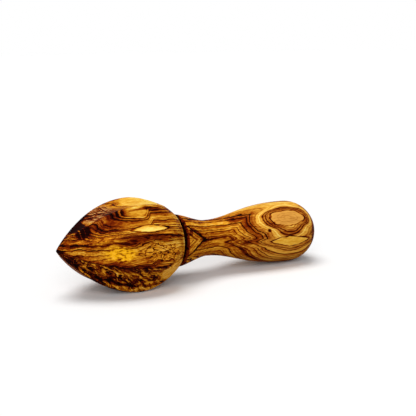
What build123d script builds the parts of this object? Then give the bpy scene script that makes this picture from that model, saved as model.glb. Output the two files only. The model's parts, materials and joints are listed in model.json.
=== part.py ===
from build123d import *
import os
from math import atan, cos, hypot, radians, sin

# Wooden citrus reamer: a pointed, fluted juicing head and a turned handle, held together by a
# shouldered dowel whose middle shows as the floor of the groove between them.
# It lies on its side on z = 0, point towards -X and bulb towards +X, with its own axis in the XZ
# plane. Stations are distances along that axis from where the point would be if it were sharp.
# Millimetres.

os.makedirs("parts", exist_ok=True)

# Juicing head: two parabolas meet at the widest place, and the point is slightly blunt
head_radius = 24.0
widest_station = 42.0
back_curve_length = 36.0
nose_station = 0.85
head_length = 63.7
base_edge_round = 2.6

# Flutes, cut by a round gouge that swings on an arc along the head. The angles are counted round
# the axis from straight up, away from the -Y side, and are a little uneven, as carved by hand.
# The flute at 180 faces the surface below, and the head rests on that flute's two crests, each
# the resting crest angle to one side of it.
flute_angles = [-3.0, 42.0, 87.0, 131.0, 180.0, 230.0, 273.0, 312.0]
resting_crest_angle = 22.0
gouge_radius = 32.0
swing_station = 44.4
swing_depth = -35.6
swing_radius = 56.5

# Neck: the groove between the head's base and the handle's collar
neck_radius = 10.8
neck_width = 3.3

# Handle: flared collar, slim waist and egg-shaped bulb
collar_radius = 13.6
collar_edge_round = 1.1
collar_slope_run = 4.9
collar_slope_fall = 0.55
waist_station = 85.5
waist_radius = 9.4
waist_lead_in = 4.9
waist_lead_out = 17.6
bulb_station = 139.4
bulb_radius = 16.85
bulb_lead_in = 29.3
handle_end = 156.8

# Dowel joint: plain ends of the dowel in blind sockets, with room for glue
tenon_radius = 5.0
glue_gap = 0.05
head_tenon_length = 20.0
handle_tenon_length = 18.0
socket_extra_depth = 1.0
tenon_chamfer = 0.6


def front_curve(station):
    """Radius of the turned head between the point and its widest place."""
    return head_radius * (1 - (1 - station / widest_station) ** 2)


def back_curve(station):
    """Radius of the turned head between its widest place and its base."""
    return head_radius * (1 - ((station - widest_station) / back_curve_length) ** 2)


# Lying on its side: the two crests under the head and the bottom of the bulb touch z = 0
collar_station = head_length + neck_width
bulb_cap_length = handle_end - bulb_station
crest_reach = head_radius * cos(radians(resting_crest_angle))
tilt = atan((crest_reach - bulb_radius) / (bulb_station - widest_station))
head_bulge = (back_curve_length * sin(tilt)) ** 2 / (4 * crest_reach * cos(tilt))
point_height = widest_station * sin(tilt) + crest_reach * cos(tilt) + head_bulge

# Centred in X between the blunt point and the far side of the bulb
point_reach = nose_station * cos(tilt) - front_curve(nose_station) * sin(tilt)
cap_reach = hypot(bulb_cap_length * cos(tilt), bulb_radius * sin(tilt))
end_reach = bulb_station * cos(tilt) + cap_reach
point_x = -(point_reach + end_reach) / 2

along = Vector(cos(tilt), 0, -sin(tilt))
lying = Plane(origin=(point_x, 0, point_height), x_dir=along, z_dir=(0, -1, 0))
reamer_axis = Axis(lying.origin, along)
head_base = Plane(origin=lying.from_local_coords((head_length, 0, 0)), z_dir=along)
collar_face = Plane(origin=lying.from_local_coords((collar_station, 0, 0)), z_dir=-along)

# Juicing head
with BuildPart() as reamer_head:
    with BuildSketch(lying):
        with BuildLine():
            nose = Line((nose_station, 0), (nose_station, front_curve(nose_station)))
            front_middle = (nose_station + widest_station) / 2
            front = Bezier(nose @ 1, (front_middle, head_radius), (widest_station, head_radius))
            back_middle = (widest_station + head_length) / 2
            back = Bezier(front @ 1, (back_middle, head_radius), (head_length, back_curve(head_length)))
            Line(back @ 1, (head_length, 0))
            Line((head_length, 0), nose @ 0)
        make_face()
    revolve(axis=reamer_axis)
    base_edge = reamer_head.edges().filter_by(GeomType.CIRCLE).sort_by(reamer_axis)[-1]
    fillet(base_edge, base_edge_round)
    for flute_angle in flute_angles:
        turned = lying.location * Location((0, 0, 0), (-flute_angle, 0, 0))
        with Locations(turned * Location((swing_station, swing_depth, 0))):
            Torus(swing_radius + gouge_radius, gouge_radius, mode=Mode.SUBTRACT)
    with Locations(head_base):
        Hole(tenon_radius + glue_gap, head_tenon_length + socket_extra_depth)

# Handle
with BuildPart() as handle:
    with BuildSketch(lying):
        with BuildLine():
            collar = Line((collar_station, 0), (collar_station, collar_radius))
            flare = Bezier(
                collar @ 1,
                (collar_station + collar_slope_run, collar_radius - collar_slope_fall),
                (waist_station - waist_lead_in, waist_radius),
                (waist_station, waist_radius),
            )
            grip = Bezier(
                flare @ 1,
                (waist_station + waist_lead_out, waist_radius),
                (bulb_station - bulb_lead_in, bulb_radius),
                (bulb_station, bulb_radius),
            )
            EllipticalCenterArc((bulb_station, 0), bulb_cap_length, bulb_radius, arc_size=90)
            Line((handle_end, 0), collar @ 0)
        make_face()
    revolve(axis=reamer_axis)
    collar_edge = handle.edges().filter_by(GeomType.CIRCLE).sort_by(reamer_axis)[0]
    fillet(collar_edge, collar_edge_round)
    with Locations(collar_face):
        Hole(tenon_radius + glue_gap, handle_tenon_length + socket_extra_depth)

# Shouldered dowel: its wide middle keeps head and handle apart
with BuildPart() as neck_dowel:
    with BuildSketch(head_base):
        Circle(neck_radius)
    extrude(amount=neck_width)
    with BuildSketch(head_base.offset(neck_width)):
        Circle(tenon_radius)
    extrude(amount=handle_tenon_length)
    with BuildSketch(head_base):
        Circle(tenon_radius)
    extrude(amount=-head_tenon_length)
    tenon_ends = neck_dowel.edges().filter_by(GeomType.CIRCLE).sort_by(reamer_axis)
    chamfer([tenon_ends[0], tenon_ends[-1]], tenon_chamfer)

reamer_head.part.label = "reamer_head"
neck_dowel.part.label = "neck_dowel"
handle.part.label = "handle"

export_step(reamer_head.part, "parts/reamer_head.step")
export_step(neck_dowel.part, "parts/neck_dowel.step")
export_step(handle.part, "parts/handle.step")
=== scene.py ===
import json
from collections import namedtuple
from functools import reduce
from math import atan, cos, degrees, hypot, pi, radians, sin

import bpy
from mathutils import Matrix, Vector
from mathutils.geometry import interpolate_bezier


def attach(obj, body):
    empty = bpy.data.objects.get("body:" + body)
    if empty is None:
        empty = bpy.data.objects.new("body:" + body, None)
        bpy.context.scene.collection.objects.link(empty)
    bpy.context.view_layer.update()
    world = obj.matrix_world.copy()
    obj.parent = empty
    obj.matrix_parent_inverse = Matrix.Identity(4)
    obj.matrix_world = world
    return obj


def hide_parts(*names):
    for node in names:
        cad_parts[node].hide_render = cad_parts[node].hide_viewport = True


# Wooden citrus reamer, lying on its side on a pale floor. The turner's measures below are in
# millimetres: a station is a distance along the reamer's own axis from where the point would be if
# it were sharp, and a turn is an angle in degrees round that axis, from straight up towards +Y.
# Everything else is in metres.
MM = 0.001

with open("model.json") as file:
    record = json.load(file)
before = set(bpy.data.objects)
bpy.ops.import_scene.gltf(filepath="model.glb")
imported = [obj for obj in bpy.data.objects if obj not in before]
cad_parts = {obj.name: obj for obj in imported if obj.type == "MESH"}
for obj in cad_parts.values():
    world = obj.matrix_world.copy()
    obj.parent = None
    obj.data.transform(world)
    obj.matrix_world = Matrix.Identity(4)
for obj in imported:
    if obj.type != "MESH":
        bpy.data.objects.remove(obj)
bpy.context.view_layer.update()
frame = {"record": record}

# Turner's measures: head
HEAD_RADIUS = 24.0
WIDEST_STATION = 42.0
BACK_CURVE_LENGTH = 36.0
NOSE_STATION = 0.85
HEAD_LENGTH = 63.7
BASE_EDGE_ROUND = 2.6
FLUTE_TURNS = [-3.0, 42.0, 87.0, 131.0, 180.0, 230.0, 273.0, 312.0]
CREST_TURNS = [(a + b) / 2 for a, b in zip(FLUTE_TURNS, FLUTE_TURNS[1:] + [FLUTE_TURNS[0] + 360])]
GOUGE_RADIUS = 32.0
SWING_STATION = 44.4
SWING_DEPTH = -35.6
SWING_RADIUS = 56.5
CREST_SOFTNESS = 0.35

# Neck and handle
NECK_RADIUS = 10.8
NECK_WIDTH = 3.3
COLLAR_STATION = HEAD_LENGTH + NECK_WIDTH
COLLAR_RADIUS = 13.6
COLLAR_EDGE_ROUND = 1.1
COLLAR_FACE_RADIUS = COLLAR_RADIUS - COLLAR_EDGE_ROUND * 1.12
COLLAR_SLOPE_RUN = 4.9
COLLAR_SLOPE_FALL = 0.55
WAIST_STATION = 85.5
WAIST_RADIUS = 9.4
WAIST_LEAD_IN = 4.9
WAIST_LEAD_OUT = 17.6
BULB_STATION = 139.4
BULB_RADIUS = 16.85
BULB_LEAD_IN = 29.3
HANDLE_END = 156.8

# Open knots: one on the back of the head and a small one on the bulb
KNOT_STATION = 46.0
KNOT_TURN = 110.0
KNOT_RADIUS = 1.4
KNOT_DEPTH = 1.3
PIN_KNOT_STATION = 117.5
PIN_KNOT_TURN = -73.0
PIN_KNOT_RADIUS = 0.8
PIN_KNOT_DEPTH = 0.6

# Dowel joint
TENON_RADIUS = 5.0
TENON_CHAMFER = 0.6
SOCKET_RADIUS = 5.05
HEAD_TENON_LENGTH = 20.0
HANDLE_TENON_LENGTH = 18.0
SOCKET_EXTRA_DEPTH = 1.0

# Fineness of the meshes: facets round, the passes that bring a flute's radius to its value, the least
# cosine used beside a flute, the gap that is closed, and the angle from which an edge stays crisp
HEAD_FACETS = 432
HANDLE_FACETS = 288
DOWEL_FACETS = 192
FLUTE_REFINEMENTS = 4
LEAST_FACING = 0.45
CLOSING_GAP = 0.004
CRISP_ANGLE = 38

# A spot of the figure: the station, the turn and the distance from the axis of its middle, and how
# far it reaches along the piece, round it and into it
Spot = namedtuple("Spot", "station turn radius along across depth", defaults=(7.0,))

# Figure of the head: its upper part
# Pale wood on the top of the head, made paler on the facet above the front crest by painted top light
PALE_LIT_TOP = Spot(46, 0, 22, 12.5, 12)
# Grey streaked top of the head, whose grey tint is a painted sheen
GREY_SHEEN_TOP = Spot(22, 0, 16, 9, 9)
BOWL = Spot(36.5, -32, 22, 6.8, 4.2)
BOWL_RINGS = Spot(37, -31, 22, 9.5, 3.8)
BOWL_LINE = Spot(42, -30, 22, 9, 0.8)
BROWS = Spot(26, -38, 20, 9, 6)
SCORCH = Spot(19, -44, 18, 11, 7.5)
BASE_SHADE = Spot(52, -40, 22, 9, 5)
TOP_HILL = Spot(46, -8, 22, 15, 10)

# Figure of the head: its middle, from the point to the base
LENS = Spot(42, -57.5, 22, 11, 2)
LENS_RINGS = Spot(42, -57.5, 22, 10, 1.9)
LENS_LIGHT = Spot(40, -60, 22, 11, 2.2)
DARK_BAND = Spot(40, -71, 22, 24, 2.6)
EMBER = Spot(18, -66, 17, 11, 4)
GOLD_PATCH = Spot(25.5, -90, 19, 9.5, 4.6)
SIDE_HILL = Spot(25, -90, 20, 10, 5)
BURL = Spot(47, -90, 22, 15, 5.5)
POINT_LIGHT = Spot(9, -82, 8, 8, 6)
POINT_STAINS = [Spot(10.5, 5, 10, 4.2, 11), Spot(11.5, -35, 12, 4.2, 3.6), Spot(15, 24, 13.5, 5.5, 4.5)]

# Figure of the head: its underside, and the rings round the knot on its back
UNDER_SHADE = Spot(23, -112, 20, 12, 3.5)
UNDER_LIGHT = Spot(24, -130, 20, 7, 3.5)
FLECKS = Spot(30, -124, 21, 1, 1, 1)
CRESCENT = Spot(56.5, -123, 19, 8.7, 7)
CRESCENT_STREAKS = Spot(56, -123, 19, 1, 1, 1)
# Painted light bounced from the floor, along the lowest facet of the head
BOTTOM_BOUNCE_LIGHT = Spot(44, -154, 22, 15, 4)
BOTTOM_LINE = Spot(23, -146, 19, 12, 1.4)
KNOT_RINGS = Spot(KNOT_STATION, KNOT_TURN, 21, 7, 2.6)
KNOT = Spot(KNOT_STATION, KNOT_TURN, 21, KNOT_RADIUS * 1.5, KNOT_RADIUS * 1.3)

# Figure of the handle: collar and grip
DIAMOND = Spot(66, -79, 13, 12.5, 9, 20)
DIAMOND_TIP = Spot(77.5, -79, 12, 2.4, 1.6)
HOOK = Spot(72.5, -70, 13, 3.2, 3, 20)
# Painted shade under the collar, beside the groove
COLLAR_SHADE = Spot(67, -150, 13, 3.5, 6)
BACK_RINGS = Spot(82, 100, 10, 5, 2.2)
GRIP_KNOT = Spot(104.5, -100, 12, 3, 2)

# Figure of the handle: bulb
EYE = Spot(131, -51, 16.5, 10.5, 4.1)
EYE_HILL = Spot(131, -56, 16.5, 7.5, 6.5, 5.5)
EYE_RINGS = Spot(131, -51, 16.5, 9.5, 3.9)
BULB_LENS = Spot(131, -96, 16.5, 13, 2.8)
BULB_LENS_RINGS = Spot(131, -96, 16.5, 12, 2.6)
PIN_KNOT = Spot(PIN_KNOT_STATION, PIN_KNOT_TURN, 15.5, PIN_KNOT_RADIUS * 1.6, PIN_KNOT_RADIUS * 1.3)

# Colours of olive wood from its darkest heartwood to its palest sapwood, three tints of its own, and a
# grey tint for painted sheen
WOOD_TONES = (
    (0.00, (0.005, 0.001, 0.001)),
    (0.15, (0.050, 0.003, 0.001)),
    (0.28, (0.150, 0.013, 0.001)),
    (0.42, (0.285, 0.047, 0.002)),
    (0.56, (0.460, 0.139, 0.005)),
    (0.70, (0.700, 0.298, 0.016)),
    (0.84, (0.880, 0.470, 0.050)),
    (1.00, (0.970, 0.730, 0.160)),
)
TAN = (0.66, 0.31, 0.065)
# Grey of the painted sheen on the top of the head
SHEEN_GREY = (0.46, 0.29, 0.14)
GOLD = (0.92, 0.43, 0.003)
AMBER = (0.78, 0.27, 0.006)
POLISH_ROUGHNESS = 0.42
POLISH_SPECULAR = 0.004
RING_BUMP_STRENGTH = 0.1
RING_BUMP_DEPTH = 0.0002

# Floor, light and camera
FLOOR_REACH = 4.0
FLOOR_GREY = 0.5
FLOOR_SEEN = 0.98
FLOOR_ROUGHNESS = 0.8
ROOM_LIGHT = 0.24
KEY_LIGHT = {"place": (-0.12, 0.06, 0.9), "spread": 40, "strength": 1.85}
FRONT_LIGHT = {"place": (-0.5, -0.75, 0.45), "spread": 45, "strength": 1.6}
SENSOR_WIDTH = 36
PHOTO_WIDTH = 416
FOCAL_PIXELS = 900
CAMERA_PLACE = Vector((-0.2533, -0.3807, 0.1268))
CAMERA_AIM = Vector((0.0092, 0, 0.0356))

# The groove's mount gives one point of the reamer's axis and its direction
groove = next(mount for mount in frame["record"]["mounts"] if mount["name"] == "neck_groove")
ALONG = Vector(groove["axis"]).normalized()
LEAN = atan(-ALONG.z / ALONG.x)
POINT_PLACE = Vector(groove["pos_m"]) - ALONG * (HEAD_LENGTH + NECK_WIDTH / 2) * MM


class Wire:
    """An output socket. Arithmetic on it adds Math nodes to its own node tree."""

    def __init__(self, tree, socket):
        self.tree = tree
        self.socket = socket

    def math(self, operation, *others):
        """A Math node that takes this wire first."""
        sockets = dict(enumerate((self, *others)))
        return add_node(self.tree, "ShaderNodeMath", {"operation": operation}, sockets)

    def __add__(self, other):
        return self.math("ADD", other)

    def __radd__(self, other):
        return self.math("ADD", other)

    def __sub__(self, other):
        return self.math("SUBTRACT", other)

    def __rsub__(self, other):
        return add_node(self.tree, "ShaderNodeMath", {"operation": "SUBTRACT"}, {0: other, 1: self})

    def __mul__(self, other):
        return self.math("MULTIPLY", other)

    def __rmul__(self, other):
        return self.math("MULTIPLY", other)

    def __truediv__(self, other):
        return self.math("DIVIDE", other)

    def __pow__(self, other):
        return self.math("POWER", other)

    def __abs__(self):
        return self.math("ABSOLUTE")

    def larger(self, other):
        return self.math("MAXIMUM", other)


def add_node(tree, kind, settings=None, sockets=None, output=0):
    """Adds a node of that type: first its settings, then the value or the link of each socket."""
    node = tree.nodes.new(kind)
    for name, value in (settings or {}).items():
        setattr(node, name, value)
    for key, value in (sockets or {}).items():
        if isinstance(value, Wire):
            tree.links.new(value.socket, node.inputs[key])
        else:
            node.inputs[key].default_value = value
    return Wire(tree, node.outputs[output]) if node.outputs else None


# Outlines of the turned pieces, as points (station, radius) from end to end


def front_curve(station):
    """Radius of the turned head between the point and its widest place."""
    return HEAD_RADIUS * (1 - (1 - station / WIDEST_STATION) ** 2)


def back_curve(station):
    """Radius of the turned head between its widest place and its base."""
    return HEAD_RADIUS * (1 - ((station - WIDEST_STATION) / BACK_CURVE_LENGTH) ** 2)


def bow(start, start_handle, end_handle, end, steps):
    """A Bezier stretch."""
    points = [Vector((*point, 0)) for point in (start, start_handle, end_handle, end)]
    return [tuple(point.xy) for point in interpolate_bezier(*points, steps + 1)]


def parabola(start, middle, end, steps):
    """A stretch of a parabola whose end tangents meet in the middle point."""
    handles = [tuple(p + (m - p) * 2 / 3 for p, m in zip(point, middle)) for point in (start, end)]
    return bow(start, *handles, end, steps)


def arc(centre, radii, first_angle, last_angle, steps):
    """An arc of a circle or ellipse, with angles in degrees from the handle's direction."""
    sweep = last_angle - first_angle
    angles = [radians(first_angle + sweep * step / steps) for step in range(steps + 1)]
    return [(centre[0] + radii[0] * cos(angle), centre[1] + radii[1] * sin(angle)) for angle in angles]


def straight(start, end, steps=1):
    """A straight stretch."""
    return [tuple(a + (b - a) * step / steps for a, b in zip(start, end)) for step in range(steps + 1)]


def head_outline():
    """Nose, front and back of the head, its rounded base edge, its base and its dowel socket."""
    round_station = HEAD_LENGTH - BASE_EDGE_ROUND
    touch = round_station
    for _ in range(8):
        slope = -2 * HEAD_RADIUS * (touch - WIDEST_STATION) / BACK_CURVE_LENGTH ** 2
        touch = round_station - BASE_EDGE_ROUND * slope / hypot(1, slope)
    round_radius = back_curve(touch) - BASE_EDGE_ROUND / hypot(1, slope)
    round_radii = (BASE_EDGE_ROUND, BASE_EDGE_ROUND)
    round_start = 90 + degrees(atan(slope))
    nose = (NOSE_STATION, front_curve(NOSE_STATION))
    front_middle = ((NOSE_STATION + WIDEST_STATION) / 2, HEAD_RADIUS)
    widest = (WIDEST_STATION, HEAD_RADIUS)
    back_middle = ((WIDEST_STATION + touch) / 2, HEAD_RADIUS)
    mouth = (HEAD_LENGTH, SOCKET_RADIUS)
    floor_station = HEAD_LENGTH - HEAD_TENON_LENGTH - SOCKET_EXTRA_DEPTH
    return (
        straight((NOSE_STATION, 0), nose, steps=2)
        + parabola(nose, front_middle, widest, steps=112)
        + parabola(widest, back_middle, (touch, back_curve(touch)), steps=56)
        + arc((round_station, round_radius), round_radii, round_start, 0, steps=9)
        + straight((HEAD_LENGTH, round_radius), mouth, steps=4)
        + straight(mouth, (floor_station, SOCKET_RADIUS), steps=6)
        + straight((floor_station, SOCKET_RADIUS), (floor_station, 0))
    )


def handle_outline():
    """Dowel socket, collar face and edge, flare, waist, grip and the egg-shaped bulb."""
    floor_station = COLLAR_STATION + HANDLE_TENON_LENGTH + SOCKET_EXTRA_DEPTH
    mouth = (COLLAR_STATION, SOCKET_RADIUS)
    edge_station = COLLAR_STATION + COLLAR_EDGE_ROUND
    edge_radii = (COLLAR_EDGE_ROUND, COLLAR_EDGE_ROUND)
    edge_end = 90 - degrees(atan(COLLAR_SLOPE_FALL / COLLAR_SLOPE_RUN))
    flare = (edge_station, COLLAR_RADIUS - COLLAR_EDGE_ROUND * COLLAR_SLOPE_FALL / COLLAR_SLOPE_RUN)
    flare_handle = (COLLAR_STATION + COLLAR_SLOPE_RUN, COLLAR_RADIUS - COLLAR_SLOPE_FALL)
    waist_before = (WAIST_STATION - WAIST_LEAD_IN, WAIST_RADIUS)
    waist = (WAIST_STATION, WAIST_RADIUS)
    waist_after = (WAIST_STATION + WAIST_LEAD_OUT, WAIST_RADIUS)
    bulb_before = (BULB_STATION - BULB_LEAD_IN, BULB_RADIUS)
    bulb = (BULB_STATION, BULB_RADIUS)
    return (
        straight((floor_station, 0), (floor_station, SOCKET_RADIUS))
        + straight((floor_station, SOCKET_RADIUS), mouth, steps=6)
        + straight(mouth, (COLLAR_STATION, COLLAR_FACE_RADIUS), steps=4)
        + arc((edge_station, COLLAR_FACE_RADIUS), edge_radii, 180, edge_end, steps=7)
        + bow(flare, flare_handle, waist_before, waist, steps=40)
        + bow(waist, waist_after, bulb_before, bulb, steps=96)
        + arc((BULB_STATION, 0), (HANDLE_END - BULB_STATION, BULB_RADIUS), 90, 0, steps=60)
    )


def dowel_outline():
    """Chamfered tenon, shoulder that shows in the groove, and the other chamfered tenon."""
    head_end = HEAD_LENGTH - HEAD_TENON_LENGTH
    handle_end = COLLAR_STATION + HANDLE_TENON_LENGTH
    return (
        straight((head_end, 0), (head_end, TENON_RADIUS - TENON_CHAMFER))
        + straight((head_end + TENON_CHAMFER, TENON_RADIUS), (HEAD_LENGTH, TENON_RADIUS), steps=6)
        + straight((HEAD_LENGTH, NECK_RADIUS), (COLLAR_STATION, NECK_RADIUS), steps=4)
        + straight((COLLAR_STATION, TENON_RADIUS), (handle_end - TENON_CHAMFER, TENON_RADIUS), steps=6)
        + straight((handle_end, TENON_RADIUS - TENON_CHAMFER), (handle_end, 0))
    )


def lathe_and_gouge():
    """Geometry nodes that turn an outline, carve flutes and a pit, and lay the piece in its place."""
    tree = bpy.data.node_groups.new("Lathe and gouge", "GeometryNodeTree")
    tree.interface.new_socket("Geometry", in_out="INPUT", socket_type="NodeSocketGeometry")
    tree.interface.new_socket("Geometry", in_out="OUTPUT", socket_type="NodeSocketGeometry")
    for name, kind in {
        "Facets round": "NodeSocketInt",
        "Flutes": "NodeSocketInt",
        "Gouge radius": "NodeSocketFloat",
        "Swing station": "NodeSocketFloat",
        "Swing depth": "NodeSocketFloat",
        "Swing radius": "NodeSocketFloat",
        "Crest softness": "NodeSocketFloat",
        "Pit station": "NodeSocketFloat",
        "Pit turn": "NodeSocketFloat",
        "Pit radius": "NodeSocketFloat",
        "Pit depth": "NodeSocketFloat",
        "Wood": "NodeSocketMaterial",
    }.items():
        tree.interface.new_socket(name, in_out="INPUT", socket_type=kind)
    group_input = tree.nodes.new("NodeGroupInput")
    given = {socket.name: Wire(tree, socket) for socket in group_input.outputs if socket.name}

    def node(kind, settings=None, sockets=None, output=0):
        return add_node(tree, kind, settings, sockets, output)

    # A grid with one row for each point of the outline and one column for each facet round
    count = {"Geometry": given["Geometry"]}
    rows = node("GeometryNodeAttributeDomainSize", {"component": "MESH"}, count, "Point Count")
    columns = given["Facets round"] + 1
    grid = node("GeometryNodeMeshGrid", None, {"Vertices X": rows, "Vertices Y": columns}, "Mesh")
    number = node("GeometryNodeInputIndex")
    row = ((number + 0.5) / columns).math("FLOOR")
    turn = (number - row * columns) * (2 * pi) / given["Facets round"]
    outline_place = node("GeometryNodeInputPosition")
    point = node(
        "GeometryNodeSampleIndex",
        {"data_type": "FLOAT_VECTOR", "domain": "POINT"},
        {"Geometry": given["Geometry"], "Value": outline_place, "Index": row},
    )
    station = node("ShaderNodeSeparateXYZ", None, {0: point}, "X")
    turned_radius = node("ShaderNodeSeparateXYZ", None, {0: point}, "Y")

    # Each pass of the gouge carves one flute: a round tool that swings on an arc along the head
    passes_in = tree.nodes.new("GeometryNodeRepeatInput")
    passes_out = tree.nodes.new("GeometryNodeRepeatOutput")
    passes_in.pair_with_output(passes_out)
    passes_out.repeat_items.clear()
    passes_out.repeat_items.new("FLOAT", "Radius")
    tree.links.new(given["Flutes"].socket, passes_in.inputs["Iterations"])
    tree.links.new(turned_radius.socket, passes_in.inputs["Radius"])
    so_far = Wire(tree, passes_in.outputs["Radius"])
    flute_turn = tree.nodes.new("GeometryNodeIndexSwitch")
    flute_turn.data_type = "FLOAT"
    while len(flute_turn.index_switch_items) < len(FLUTE_TURNS):
        flute_turn.index_switch_items.new()
    for item, value in enumerate(FLUTE_TURNS):
        flute_turn.inputs[str(item)].default_value = radians(value)
    tree.links.new(passes_in.outputs["Iteration"], flute_turn.inputs["Index"])
    off_flute = turn - Wire(tree, flute_turn.outputs[0])
    facing = off_flute.math("COSINE").larger(LEAST_FACING)
    sideways = off_flute.math("SINE")
    carved = turned_radius
    for _ in range(FLUTE_REFINEMENTS):
        off_centre = carved * sideways
        hollow = (given["Gouge radius"] ** 2 - off_centre * off_centre).math("SQRT")
        reach = given["Swing radius"] + given["Gouge radius"] - hollow
        rise = (reach * reach - (station - given["Swing station"]) ** 2).math("SQRT")
        carved = (given["Swing depth"] + rise) / facing
    cut = so_far.math("SMOOTH_MIN", carved, given["Crest softness"])
    tree.links.new(cut.socket, passes_out.inputs["Radius"])
    fluted = Wire(tree, passes_out.outputs["Radius"])

    # An open knot leaves a small pit
    off_pit = turn - given["Pit turn"] * (pi / 180)
    aside = off_pit.math("SINE") * fluted
    pit_far = ((station - given["Pit station"]) ** 2 + aside ** 2) / (given["Pit radius"] ** 2)
    this_side = off_pit.math("COSINE").math("GREATER_THAN", 0.0)
    radius = fluted - given["Pit depth"] * (pit_far * -1.0).math("EXPONENT") * this_side

    places = {"X": station, "Y": radius * turn.math("SINE"), "Z": radius * turn.math("COSINE")}
    place = node("ShaderNodeCombineXYZ", None, places)
    turned = node("GeometryNodeSetPosition", None, {"Geometry": grid, "Position": place})
    closed = node("GeometryNodeMergeByDistance", None, {"Geometry": turned, "Distance": CLOSING_GAP})
    edge_angle = node("GeometryNodeInputMeshEdgeAngle", None, None, "Unsigned Angle")
    crisp = edge_angle.math("GREATER_THAN", radians(CRISP_ANGLE))
    smooth = node(
        "GeometryNodeSetShadeSmooth",
        {"domain": "FACE"},
        {"Geometry": closed, "Shade Smooth": True},
    )
    shaded = node(
        "GeometryNodeSetShadeSmooth",
        {"domain": "EDGE"},
        {"Geometry": smooth, "Selection": crisp, "Shade Smooth": False},
    )
    laid = node(
        "GeometryNodeTransform",
        None,
        {"Geometry": shaded, "Translation": POINT_PLACE, "Rotation": (0, LEAN, 0), "Scale": (MM, MM, MM)},
    )
    whole = node("GeometryNodeRealizeInstances", None, {"Geometry": laid})
    finished = node("GeometryNodeSetMaterial", None, {"Geometry": whole, "Material": given["Wood"]})
    out = tree.nodes.new("NodeGroupOutput")
    tree.links.new(finished.socket, out.inputs["Geometry"])
    return tree


def make_turned(name, outline, tree, sizes):
    """One turned piece: its outline goes through the lathe, and the result is kept as a plain mesh."""
    sketch = bpy.data.meshes.new(name + "_outline")
    sketch.from_pydata([(station, radius, 0) for station, radius in outline], [], [])
    blank = bpy.data.objects.new(name + "_blank", sketch)
    bpy.context.scene.collection.objects.link(blank)
    turning = blank.modifiers.new("Lathe and gouge", "NODES")
    turning.node_group = tree
    for item in tree.interface.items_tree:
        if item.name in sizes:
            turning[item.identifier] = sizes[item.name]
    ready = blank.evaluated_get(bpy.context.evaluated_depsgraph_get())
    mesh = bpy.data.meshes.new_from_object(ready)
    bpy.data.objects.remove(blank)
    mesh.name = name
    piece = bpy.data.objects.new(name, mesh)
    bpy.context.scene.collection.objects.link(piece)
    return piece


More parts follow.
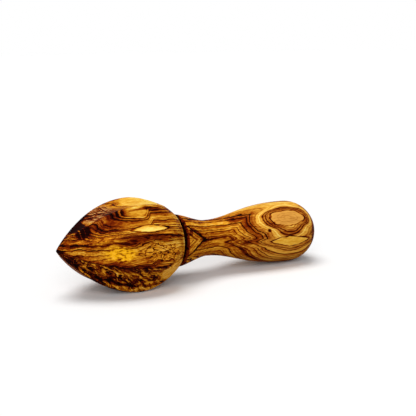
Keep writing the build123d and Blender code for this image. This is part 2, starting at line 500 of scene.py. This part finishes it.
class Timber:
    """The figure of one piece of wood, built up as a node tree on its Object coordinates.

    Lengths are in millimetres. The shift of a noise picks another stretch of it.
    """

    def __init__(self, name):
        self.material = bpy.data.materials.new(name)
        self.material.use_nodes = True
        self.tree = self.material.node_tree
        self.tree.nodes.clear()
        in_frame = self.node("ShaderNodeTexCoord", output="Object")
        self.place = self.mapped(in_frame, POINT_PLACE, (0, LEAN, 0), (MM, MM, MM))
        self.station = self.node("ShaderNodeSeparateXYZ", None, {0: self.place}, "X")
        self.off_axis = self.vector("MULTIPLY", self.place, (0, 1, 1))

    def node(self, kind, settings=None, sockets=None, output=0):
        return add_node(self.tree, kind, settings, sockets, output)

    def vector(self, operation, *terms, output="Vector"):
        return self.node("ShaderNodeVectorMath", {"operation": operation}, dict(enumerate(terms)), output)

    def mapped(self, place, location, rotation, scale):
        """The place in a frame of its own, which lies at that location, turned and scaled."""
        sockets = {"Vector": place, "Location": location, "Rotation": rotation, "Scale": scale}
        return self.node("ShaderNodeMapping", {"vector_type": "TEXTURE"}, sockets)

    def noise(self, place, detail, roughness=0.5):
        """Smooth noise from about -0.5 to 0.5."""
        sockets = {"Vector": place, "Scale": 1.0, "Detail": detail, "Roughness": roughness}
        return self.node("ShaderNodeTexNoise", None, sockets) - 0.5

    def stretched(self, along, across, shift):
        """The place divided by a length along the grain and one across it."""
        return self.mapped(self.place, (shift, shift * 0.7, -shift), (0, 0, 0), (along, across, across))

    def grow_wavy(self, along, across, shift, far_along, far_across):
        """From here on the grain wanders by those distances over those lengths."""
        sockets = {"Vector": self.stretched(along, across, shift), "Scale": 1.0, "Detail": 1.0}
        noise = self.node("ShaderNodeTexNoise", None, sockets, "Color")
        drift = self.vector("SUBTRACT", noise, (0.5, 0.5, 0.5))
        moved = self.vector("MULTIPLY", drift, (far_along, far_across, far_across))
        self.place = self.vector("ADD", self.place, moved)

    def drift(self, along, across, shift=0.0, detail=1.0):
        """Noise that is longer along the grain than across it."""
        return self.noise(self.stretched(along, across, shift), detail)

    def toward(self, turn, slant=0.0):
        """Distance from the axis towards a turn, plus a share of the station."""
        direction = (slant, sin(radians(turn)), cos(radians(turn)))
        return self.vector("DOT_PRODUCT", self.place, direction, output="Value")

    def seen_from(self, spot):
        """The place seen from a spot, as shares of the spot's own lengths."""
        angle = radians(spot.turn)
        middle = (spot.station, spot.radius * sin(angle), spot.radius * cos(angle))
        return self.mapped(self.place, middle, (-angle, 0, 0), (spot.along, spot.across, spot.depth))

    def reach(self, spot):
        """Distance from a spot, which is 1 all round it at its own lengths."""
        return self.vector("LENGTH", self.seen_from(spot), output="Value")

    def corner_reach(self, spot):
        """The same with a diamond instead of an oval round the spot."""
        aside = self.vector("ABSOLUTE", self.seen_from(spot))
        return self.vector("DOT_PRODUCT", aside, (1, 1, 1), output="Value")

    def pointed_reach(self, spot):
        """The same with a shape that comes to a point at both ends."""
        return (self.reach(spot) + self.corner_reach(spot)) * 0.5

    def ease(self, value, low, high, to_low=0.0, to_high=1.0):
        """Smooth step from one value to another."""
        sockets = {0: value, 1: low, 2: high, 3: to_low, 4: to_high}
        return self.node("ShaderNodeMapRange", {"interpolation_type": "SMOOTHSTEP"}, sockets)

    def fade(self, value, low, high):
        """Smooth step from 1 down to 0."""
        return self.ease(value, low, high, 1.0, 0.0)

    def patch(self, spot, edge):
        """1 inside a spot and 0 outside, with an edge from soft, 1, to sharp, 0."""
        return self.fade(self.reach(spot), 1 - edge, 1 + edge * 0.4)

    def rim(self, far, width):
        """1 on a line just outside a spot, given the distance from it."""
        return self.fade(abs(far - 1 - width), width * 0.4, width * 1.2)

    def seam(self, turn, width):
        """1 in a narrow band along the piece at one turn, and 0 beside it."""
        beside = abs(self.toward(turn + 90))
        return self.fade(beside, width * 0.3, width) * self.ease(self.toward(turn), 0.0, 2.0)

    def swell(self, spot, height):
        """A hill in the growth rings, round which they bend."""
        far = self.reach(spot)
        return (far * far * -1.0).math("EXPONENT") * height

    def knoll(self, rings, far, height, slope, blend=1.0):
        """Rings that close round a spot, as far out as its own hill stands above them."""
        return rings.math("SMOOTH_MAX", height - far * slope, blend)

    def along_rings(self, rings, spacing, shift, detail=0.0):
        """Noise that is the same all along one growth ring."""
        sockets = {"W": rings / spacing + shift, "Scale": 1.0, "Detail": detail, "Roughness": 0.5}
        return self.node("ShaderNodeTexNoise", {"noise_dimensions": "1D"}, sockets) - 0.5

    def ring_lines(self, rings, spacing, shift, width):
        """1 at the late edge of each ring, with a sharp step to the next, uneven from ring to ring."""
        uneven = rings / spacing + self.along_rings(rings, spacing * 5, shift) * 2.5
        number = uneven.math("FLOOR")
        share = uneven - number
        strength = self.node("ShaderNodeTexWhiteNoise", {"noise_dimensions": "1D"}, {"W": number + shift})
        late = self.ease(share, 0.25, 1 - width) ** 1.6 * 0.35
        edge = self.ease(share, 1 - width * 1.5, 1 - width * 0.8)
        end = self.fade(share, 1 - width * 0.3, 1.0)
        return late.larger(edge) * end * self.ease(strength, 0.0, 0.85)

    def curls(self, along, across, shift, level, width):
        """Thin lines that wind about, where smooth noise is near a level."""
        return self.fade(abs(self.drift(along, across, shift, 1.5) - level), 0.0, width)

    def spokes(self, count, shift):
        """Streaks along the piece that run together at its point."""
        outward = self.vector("NORMALIZE", self.off_axis)
        moved = self.vector("MULTIPLY_ADD", outward, (count, count, count), (shift, shift, shift))
        bent = self.vector("MULTIPLY_ADD", self.place, (0.08, 0, 0), moved)
        return self.noise(bent, detail=2.0, roughness=0.6)

    def slanting(self, spot, slant, along, across, shift):
        """Noise that is long in a slanting direction on the surface round a spot."""
        turned = self.mapped(
            self.seen_from(spot), (shift, 0, 0), (0, 0, radians(slant)), (along, across, across)
        )
        return self.noise(turned, detail=2.0, roughness=0.6)

    def finish(self, tone, *tints):
        """Oiled and polished: colours by tone, tints on the light wood, and fine bump along the rings."""
        ramp = self.tree.nodes.new("ShaderNodeValToRGB")
        stops = ramp.color_ramp.elements
        while len(stops) < len(WOOD_TONES):
            stops.new(0.5)
        for stop, (position, colour) in zip(stops, WOOD_TONES):
            stop.position = position
            stop.color = (*colour, 1)
        self.tree.links.new(tone.socket, ramp.inputs[0])
        colour = Wire(self.tree, ramp.outputs[0])
        shade = self.ease(tone, 0.05, 0.8, 0.02, 1.15)
        light = self.ease(tone, 0.35, 0.7)
        for mask, tint in tints:
            tinted = self.node("ShaderNodeVectorMath", {"operation": "SCALE"}, {0: tint, "Scale": shade})
            sockets = {"Factor": mask * light, "A": colour, "B": tinted}
            colour = self.node("ShaderNodeMix", {"data_type": "RGBA"}, sockets, "Result")
        relief = {"Height": tone, "Strength": RING_BUMP_STRENGTH, "Distance": RING_BUMP_DEPTH}
        shader = self.node(
            "ShaderNodeBsdfPrincipled",
            None,
            {
                "Base Color": colour,
                "Roughness": POLISH_ROUGHNESS,
                "Normal": self.node("ShaderNodeBump", None, relief),
                "Specular IOR Level": POLISH_SPECULAR,
            },
        )
        self.node("ShaderNodeOutputMaterial", None, {"Surface": shader})
        return self.material


def head_rings(wood, burl, under):
    """Growth rings of the head: they close round its spots and its knot, and slant on its underside."""
    rings = wood.toward(20) + wood.drift(along=46, across=19) * 6 + wood.drift(along=6, across=2, shift=57)
    rings = rings + wood.swell(TOP_HILL, height=6) + wood.swell(SIDE_HILL, height=3)
    bowl_far = wood.reach(BOWL_RINGS) + wood.ease(wood.station, 41, 48) * 1.3
    rings = wood.knoll(rings, bowl_far.larger(0.8), height=22, slope=5.5, blend=2)
    rings = wood.knoll(rings, wood.pointed_reach(LENS_RINGS), height=11.5, slope=4.5, blend=1.5)
    rings = wood.knoll(rings, wood.reach(KNOT_RINGS), height=9, slope=5)
    slanted = wood.toward(-40, slant=0.6) + wood.drift(along=12, across=5, shift=91) * 6
    rings = rings + (slanted - rings) * under
    return rings + wood.drift(along=4.5, across=2, shift=71) * 8 * burl.larger(under * 0.8)


def head_underside(wood, tone, under, crescent, curls):
    """Slanting flecks on dark wood, and the light crescent by the base."""
    dark = under * (1 - crescent)
    flecks = wood.ease(wood.slanting(FLECKS, slant=-35, along=6.5, across=1.7, shift=7), -0.02, 0.14)
    speckle = flecks * 0.56 - 0.2 - curls * 0.2 + wood.drift(along=7, across=4, shift=95) * 0.9
    tone = tone + speckle * dark
    tone = tone + wood.patch(UNDER_LIGHT, edge=0.7) * flecks * 0.4
    tone = tone - (tone - 0.6).larger(0.0) * dark * 0.5
    streaks = wood.slanting(CRESCENT_STREAKS, slant=42, along=7, across=0.8, shift=3)
    return tone + crescent * (0.28 + streaks * 2.2)


def head_base(wood, tone, clouds, fibre):
    """Painted highlight along the rounded edge, the head darker towards the groove on its hidden side, and
    painted shade that turns the face of the base nearly black in the groove.
    """
    # Painted highlight: a pale line along the rounded edge of the base
    edge = wood.fade(abs(wood.station - (HEAD_LENGTH - 1.1)), 0.2, 0.9)
    # Darker towards the groove on the hidden side
    darker_by_groove = wood.ease(wood.station + clouds * 8, 54, 63) * wood.ease(wood.toward(70), 4, 12)
    tone = tone + edge * 0.16 - darker_by_groove * 0.35
    # Painted shade: the face of the base, deep in the groove, goes nearly black
    groove_face = wood.ease(wood.station, HEAD_LENGTH - 0.4, HEAD_LENGTH - 0.05)
    return tone + (0.05 + fibre * 0.4 - tone) * groove_face


def head_wood():
    """Olive wood of the head, with the figure of its front, and rings round the knot on its back."""
    wood = Timber("head_olive_wood")
    streaks = wood.drift(along=0.8, across=9, shift=63, detail=2)
    spokes = wood.spokes(count=9, shift=4)
    wood.grow_wavy(along=30, across=12, shift=4, far_along=8, far_across=3)
    wood.grow_wavy(along=8, across=3.5, shift=9, far_along=3, far_across=1.3)

    # Where the spots lie, with edges that wobble
    wobble = wood.drift(along=4, across=2, shift=51, detail=2) * 0.5
    lens_far = wood.pointed_reach(LENS) + wobble
    lens = wood.fade(lens_far, 0.85, 1.04)
    bowl = wood.fade(wood.reach(BOWL) + wobble, 0.6, 1.1)
    # Pale wood on top, with painted top light that steps it paler on the facet above the front crest
    pale_lit_top = wood.patch(PALE_LIT_TOP, edge=0.3) * wood.ease(wood.toward(64.5), -0.4, 0.6, 0.3, 1.0)
    gold = wood.patch(GOLD_PATCH, edge=0.5)
    ember = wood.patch(EMBER, edge=0.8)
    burl = wood.patch(BURL, edge=0.6)
    crescent = wood.patch(CRESCENT, edge=0.25)
    # Painted sheen: the grey streaked top of the head
    grey_sheen_top = wood.patch(GREY_SHEEN_TOP, edge=0.4)
    near_point = reduce(Wire.larger, [wood.patch(spot, edge=0.7) for spot in POINT_STAINS])
    under = wood.ease(wood.toward(-196), 0.2, 1.4) * wood.ease(wood.toward(-106), 0, 8)

    # Growth rings and fibres, fainter in the calm spots
    wood.grow_wavy(along=2.6, across=1.2, shift=27, far_along=0.9, far_across=0.45)
    rings = head_rings(wood, burl, under)
    broad = wood.along_rings(rings, spacing=4.2, shift=5, detail=2.5)
    bold = wood.ring_lines(rings, spacing=3.3, shift=13, width=0.16)
    lines = wood.ring_lines(rings, spacing=1.3, shift=3, width=0.3)
    fine = wood.ring_lines(rings, spacing=0.6, shift=8, width=0.35)
    clouds = wood.drift(along=12, across=3.2, shift=33)
    long_fibre = wood.drift(along=7, across=0.8, shift=11, detail=2.5)
    short_fibre = wood.drift(along=2.4, across=0.35, shift=23, detail=1.5)
    fibre = long_fibre * 0.45 + short_fibre * 0.45
    large_curls = wood.curls(along=6.5, across=2.6, shift=47, level=-0.06, width=0.03)
    curls = wood.curls(along=4, across=1.6, shift=44, level=0.07, width=0.04).larger(large_curls)
    calm = 1 - reduce(Wire.larger, [lens, gold * 0.7, pale_lit_top * 0.75, bowl * 0.8, crescent * 0.6])
    calm = calm * (1 - ember * 0.4)
    tone = 0.6 + broad * (0.15 + calm * 0.4) + clouds * 0.55 * calm + fibre
    tone = tone - (bold * 0.36 + lines * 0.44 + fine * 0.26) * calm

    # Dark places of the front, and streaks at the point
    dark_band = wood.patch(DARK_BAND, edge=0.6)
    tone = tone - wood.patch(BROWS, edge=0.8) * lines * 0.3 - dark_band * (0.12 + fine * 0.3)
    tone = tone.larger(dark_band * (0.2 + wood.drift(along=3.2, across=0.9, shift=67, detail=2.5) * 1.2))
    tone = tone - wood.patch(SCORCH, edge=0.9) * 0.32 + wood.ease(wood.station, 38, 56) * 0.1
    tone = tone + (spokes * 1.1 - 0.1) * wood.ease(wood.station, 17, 5)
    tone = tone - wood.patch(BOWL_LINE, edge=0.7) * 0.45

    # Light spots of the front, each with a mottle of its own; the pale top is partly painted top light
    lens_light = wood.patch(LENS_LIGHT, edge=1.0)
    tone = tone + pale_lit_top * 0.24 + lens * (0.1 + lens_light * 0.34) + bowl * 0.26
    tone = tone + gold * (0.12 + wood.drift(along=2.4, across=1.1, shift=81, detail=2) * 1.8)
    tone = tone + ember * (0.14 + wood.drift(along=2.8, across=1.4, shift=85, detail=2) * 1.1)
    tone = tone - burl * (curls * 0.64 - 0.17)

    # Underside, painted bounce light from the floor on the lowest facet, dark seams along the crests, and
    # the outline of the lens
    tone = head_underside(wood, tone, under, crescent, curls)
    # Painted light: floor bounce lightens the lowest facet
    bottom_bounce_light = wood.patch(BOTTOM_BOUNCE_LIGHT, edge=0.6)
    tone = tone + bottom_bounce_light * 0.3 - wood.patch(BOTTOM_LINE, edge=0.7) * 0.4
    tone = tone - wood.seam(-107, width=1.2) * 0.2 - wood.seam(-144, width=1.2) * 0.25
    tone = tone - wood.patch(UNDER_SHADE, edge=0.8) * 0.15
    for turn in CREST_TURNS:
        tone = tone - wood.seam(turn, width=0.6) * 0.2
    tone = tone - wood.rim(lens_far, width=0.12) * 0.3 - wood.patch(BASE_SHADE, edge=0.6) * 0.08

    # Point, knot and base
    # Streaks on the grey top of the head, under its painted sheen
    tone = tone + wood.patch(POINT_LIGHT, edge=0.9) * 0.15 + grey_sheen_top * (streaks * 1.3 - 0.06)
    tone = tone * (1 - wood.ease(near_point * (streaks * 2 + 1), 0.25, 0.75) * 0.95)
    tone = head_base(wood, tone - wood.patch(KNOT, edge=0.7), clouds, fibre)
    amber = reduce(Wire.larger, [ember, bottom_bounce_light, under * 0.7, crescent, burl * 0.7])
    # The grey tint on the top of the head is a painted sheen
    return wood.finish(tone, (grey_sheen_top * 0.6, SHEEN_GREY), (gold * 0.85, GOLD), (amber * 0.6, AMBER))


def handle_rings(wood, diamond, diamond_far):
    """Growth rings of the handle: they close round its spots and follow the diamond's sides."""
    rings = wood.toward(25) * 0.8 + 14 + wood.drift(along=46, across=19, shift=7) * 5
    rings = rings + wood.drift(along=6, across=2, shift=77) * 0.9
    rings = wood.knoll(rings, wood.reach(EYE_HILL), height=31, slope=4.2, blend=4)
    rings = wood.knoll(rings, wood.reach(EYE_RINGS), height=34.6, slope=5.5)
    rings = wood.knoll(rings, wood.pointed_reach(BULB_LENS_RINGS), height=28.8, slope=4.5)
    rings = wood.knoll(rings, wood.reach(BACK_RINGS), height=22, slope=4.5)
    return rings + (diamond_far * -7.0 - rings) * diamond


def collar_figure(wood, tone, clouds, fibre):
    """The collar darker towards the groove on its hidden side, painted shade under it beside the groove,
    and its face discoloured red-brown, with painted shade that makes the face nearly black towards the
    dowel and darker away from its lower front.
    """
    darker_by_groove = wood.ease(wood.station + clouds * 8, 76, 67.5) * wood.ease(wood.toward(70), 1, 7)
    # Darker towards the groove on the hidden side, and painted shade under the collar beside the groove
    tone = tone - darker_by_groove * 0.4 - wood.patch(COLLAR_SHADE, edge=0.6) * 0.4
    from_axis = wood.vector("LENGTH", wood.off_axis, output="Value")
    # Face discoloured red-brown, with painted shade: nearly black towards the dowel and darker away from
    # the lower front
    uneven = wood.drift(along=1.6, across=1.6, shift=17) * 5 + wood.toward(-120) * 0.06
    face_colour_and_shade = wood.ease(from_axis + uneven, 12.2, 13.6, 0.02, 0.29)
    groove_face = wood.fade(wood.station, COLLAR_STATION + 0.6, COLLAR_STATION + 1.1)
    return tone + (face_colour_and_shade + fibre * 0.3 - tone) * groove_face


def handle_wood():
    """Olive wood of the handle: a diamond on the collar, long grain, an eye and a lens on the bulb."""
    wood = Timber("handle_olive_wood")
    wood.grow_wavy(along=30, across=12, shift=14, far_along=6, far_across=2)
    wood.grow_wavy(along=9, across=4, shift=19, far_along=2.4, far_across=1)

    # Where the spots lie, with edges that wobble
    wobble = wood.drift(along=4, across=2, shift=51, detail=2) * 0.4
    eye_far = wood.reach(EYE) + wobble
    lens_far = wood.pointed_reach(BULB_LENS) + wobble
    diamond_far = wood.corner_reach(DIAMOND) + wobble * 0.6
    eye = wood.fade(eye_far, 0.92, 1.04)
    lens = wood.fade(lens_far, 0.88, 1.04)
    diamond = wood.fade(diamond_far, 0.96, 1.02)
    bulb = wood.ease(wood.station, 90, 124)

    # Growth rings and fibres, fainter in the eye and the lens
    wood.grow_wavy(along=2.6, across=1.2, shift=37, far_along=0.9, far_across=0.45)
    rings = handle_rings(wood, diamond, diamond_far)
    broad = wood.along_rings(rings, spacing=2.8, shift=5, detail=1.5).larger(-0.14)
    bold = wood.ring_lines(rings, spacing=2.6, shift=13, width=0.2)
    lines = wood.ring_lines(rings, spacing=1.2, shift=3, width=0.3)
    fine = wood.ring_lines(rings, spacing=0.6, shift=8, width=0.35)
    clouds = wood.drift(along=16, across=3.5, shift=43)
    long_fibre = wood.drift(along=8, across=0.7, shift=11, detail=2.5)
    short_fibre = wood.drift(along=2.6, across=0.3, shift=23, detail=1.5)
    fibre = long_fibre * 0.4 + short_fibre * 0.32
    calm = 1 - lens.larger(eye * 0.85)
    tone = 0.67 + broad * 1.1 * calm + clouds * 0.5 * calm + fibre + lens * 0.12
    tone = tone - (bold * 0.5 + lines * 0.42 + fine * 0.16) * calm

    # Outlines of the spots, the hook inside the diamond, and dark bands and knots
    tone = tone - wood.rim(eye_far, width=0.07) * 0.4 - wood.rim(lens_far, width=0.1) * 0.55
    tone = tone - wood.rim(diamond_far, width=0.08) * 0.55
    hook = wood.ease(abs(wood.reach(HOOK) - 1), 0.5, 0.15) * wood.ease(wood.toward(20), -0.5, 1)
    tone = tone - wood.patch(DIAMOND_TIP, edge=0.7) * 0.4 - hook * 0.35 + diamond * 0.1
    end_bands = wood.ease(abs(wood.station - 149.5 + wood.drift(along=9, across=4, shift=3) * 4), 2.6, 1)
    grip_band = wood.ease(abs(rings - 19), 1.6, 0.6) * wood.ease(abs(wood.station - 105), 11, 5)
    tone = tone - end_bands * 0.3 - grip_band * 0.35 - wood.patch(GRIP_KNOT, edge=0.8) * 0.35
    tone = tone - wood.patch(PIN_KNOT, edge=0.7) * 0.8

    tone = collar_figure(wood, tone, clouds, fibre)
    tone = tone - (1 - bulb) * (0.06 - fibre.larger(0.0) * 1.4)
    return wood.finish(tone, (eye * 0.7, TAN), (bulb * calm * 0.25, TAN), ((1 - bulb) * 0.2, AMBER))


def dowel_wood():
    """Wood of the dowel, which shows as the floor of the groove, painted dark red-brown to nearly black as
    the shade in the groove.
    """
    wood = Timber("dark_dowel_wood")
    # Painted shade: the dowel is dark red-brown to nearly black, as the floor of the groove lies in shade
    blotches = wood.ease(wood.drift(along=2.5, across=2.5, shift=3, detail=2), 0.0, 0.3, 0.03, 0.25)
    fibre = wood.drift(along=9, across=0.6, shift=3, detail=2)
    return wood.finish(blotches + fibre * 0.15)


def seen_directly(tree):
    """1 for what the camera sees, also in a mirror or through glass, and 0 for light on its way."""
    path = tree.nodes.new("ShaderNodeLightPath")
    rays = ("Is Camera Ray", "Is Glossy Ray", "Is Transmission Ray")
    return reduce(Wire.larger, [Wire(tree, path.outputs[name]) for name in rays])


def make_floor():
    """Plain pale floor, which looks white but throws back only half of the light."""
    corners = [(-1, -1), (1, -1), (1, 1), (-1, 1)]
    mesh = bpy.data.meshes.new("floor")
    mesh.from_pydata([(x * FLOOR_REACH, y * FLOOR_REACH, 0) for x, y in corners], [], [(0, 1, 2, 3)])
    floor = bpy.data.objects.new("floor", mesh)
    bpy.context.scene.collection.objects.link(floor)
    material = bpy.data.materials.new("pale_floor")
    material.use_nodes = True
    tree = material.node_tree
    lit = (FLOOR_GREY, FLOOR_GREY, FLOOR_GREY, 1)
    seen = (FLOOR_SEEN, FLOOR_SEEN, FLOOR_SEEN, 1)
    sockets = {"Factor": seen_directly(tree), "A": lit, "B": seen}
    grey = add_node(tree, "ShaderNodeMix", {"data_type": "RGBA"}, sockets, "Result")
    shader = tree.nodes["Principled BSDF"]
    tree.links.new(grey.socket, shader.inputs["Base Color"])
    shader.inputs["Roughness"].default_value = FLOOR_ROUGHNESS
    shader.inputs["Specular IOR Level"].default_value = 0.0
    mesh.materials.append(material)


def make_light(name, place, spread, strength):
    """A wide soft light from that place towards the reamer."""
    lamp = bpy.data.lights.new(name, "SUN")
    lamp.angle = radians(spread)
    lamp.energy = strength
    light = bpy.data.objects.new(name, lamp)
    light.location = place
    light.rotation_euler = (-light.location).to_track_quat("-Z", "Y").to_euler()
    bpy.context.scene.collection.objects.link(light)


def make_room():
    """A pale room, which looks white and lights softly."""
    world = bpy.data.worlds.new("pale_room")
    bpy.context.scene.world = world
    world.use_nodes = True
    background = world.node_tree.nodes["Background"]
    strength = ROOM_LIGHT + seen_directly(world.node_tree) * (1 - ROOM_LIGHT)
    world.node_tree.links.new(strength.socket, background.inputs["Strength"])
    background.inputs["Color"].default_value = (1, 1, 1, 1)


def make_camera():
    """The photograph's view of the reamer."""
    camera = bpy.data.cameras.new("camera")
    camera.sensor_width = SENSOR_WIDTH
    camera.lens = SENSOR_WIDTH * FOCAL_PIXELS / PHOTO_WIDTH
    eye = bpy.data.objects.new("camera", camera)
    eye.location = CAMERA_PLACE
    eye.rotation_euler = (CAMERA_AIM - CAMERA_PLACE).to_track_quat("-Z", "Y").to_euler()
    bpy.context.scene.collection.objects.link(eye)
    bpy.context.scene.camera = eye


lathe = lathe_and_gouge()
head = make_turned(
    "fluted_head",
    head_outline(),
    lathe,
    {
        "Facets round": HEAD_FACETS,
        "Flutes": len(FLUTE_TURNS),
        "Gouge radius": GOUGE_RADIUS,
        "Swing station": SWING_STATION,
        "Swing depth": SWING_DEPTH,
        "Swing radius": SWING_RADIUS,
        "Crest softness": CREST_SOFTNESS,
        "Pit station": KNOT_STATION,
        "Pit turn": KNOT_TURN,
        "Pit radius": KNOT_RADIUS,
        "Pit depth": KNOT_DEPTH,
        "Wood": head_wood(),
    },
)
grip = make_turned(
    "turned_handle",
    handle_outline(),
    lathe,
    {
        "Facets round": HANDLE_FACETS,
        "Flutes": 0,
        "Pit station": PIN_KNOT_STATION,
        "Pit turn": PIN_KNOT_TURN,
        "Pit radius": PIN_KNOT_RADIUS,
        "Pit depth": PIN_KNOT_DEPTH,
        "Wood": handle_wood(),
    },
)
# The peg has no pit, but the pit's radius is a divisor and can't be 0
peg = make_turned(
    "neck_peg",
    dowel_outline(),
    lathe,
    {"Facets round": DOWEL_FACETS, "Flutes": 0, "Pit radius": 1.0, "Wood": dowel_wood()},
)
for piece, node, wood_slot in (
    (head, "reamer_head", "head_wood"),
    (grip, "handle", "handle_wood"),
    (peg, "neck_dowel", "dowel_wood"),
):
    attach(piece, "root")
    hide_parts(node)
make_floor()
make_room()
make_light("key_light", **KEY_LIGHT)
make_light("front_light", **FRONT_LIGHT)
make_camera()
scene = bpy.context.scene
scene.view_settings.view_transform = "Standard"
